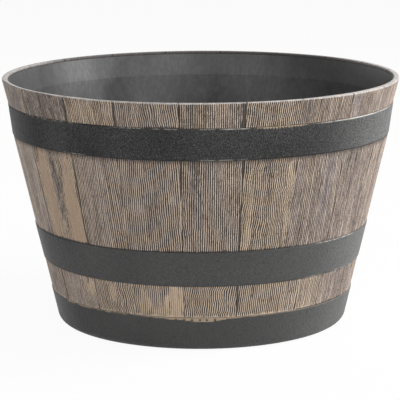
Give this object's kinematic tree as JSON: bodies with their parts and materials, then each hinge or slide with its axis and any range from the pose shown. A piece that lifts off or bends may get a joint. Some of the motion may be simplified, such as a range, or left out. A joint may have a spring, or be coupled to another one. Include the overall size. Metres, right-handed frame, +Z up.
{
  "type": "barrel planter",
  "caption": "Round tapered planter: dark inner pot dressed in separate wood-effect staves, held by a base band, a middle band and a top band, with drain plugs in the floor.",
  "frame": {"origin": "centre of the footprint, on the floor that the planter stands on", "axes": "+Z up along the planter's axis, -Y to the front as pictured, +X to the viewer's right"},
  "size_m": [0.3942, 0.3942, 0.245],
  "materials": {
    "stave_resin": "wood-grain relief, tan and greige paint brushed over dark resin",
    "band_resin": "fine pebbled, iron grey",
    "pot_resin": "smooth moulded, dark grey",
    "plug_rubber": "matt black"
  },
  "bodies": {
    "planter": {"inner_pot": "pot_resin", "base_band": "band_resin", "middle_band": "band_resin", "top_band": "band_resin", "stave_01": "stave_resin", "stave_02": "stave_resin", "stave_03": "stave_resin", "stave_04": "stave_resin", "stave_05": "stave_resin", "stave_06": "stave_resin", "stave_07": "stave_resin", "stave_08": "stave_resin", "stave_09": "stave_resin", "stave_10": "stave_resin", "stave_11": "stave_resin", "stave_12": "stave_resin", "stave_13": "stave_resin", "stave_14": "stave_resin", "stave_15": "stave_resin", "stave_16": "stave_resin", "stave_17": "stave_resin", "stave_18": "stave_resin", "stave_19": "stave_resin", "stave_20": "stave_resin"},
    "plug_1": {"drain_plug_1": "plug_rubber"},
    "plug_2": {"drain_plug_2": "plug_rubber"},
    "plug_3": {"drain_plug_3": "plug_rubber"},
    "plug_4": {"drain_plug_4": "plug_rubber"}
  },
  "joints": [
    {"name": "plug_1_lift", "type": "slide", "parent": "planter", "child": "plug_1", "axis": [0, 0, 1], "range_m": [0, 0.25]},
    {"name": "plug_2_lift", "type": "slide", "parent": "planter", "child": "plug_2", "axis": [0, 0, 1], "range_m": [0, 0.25]},
    {"name": "plug_3_lift", "type": "slide", "parent": "planter", "child": "plug_3", "axis": [0, 0, 1], "range_m": [0, 0.25]},
    {"name": "plug_4_lift", "type": "slide", "parent": "planter", "child": "plug_4", "axis": [0, 0, 1], "range_m": [0, 0.25]}
  ]
}
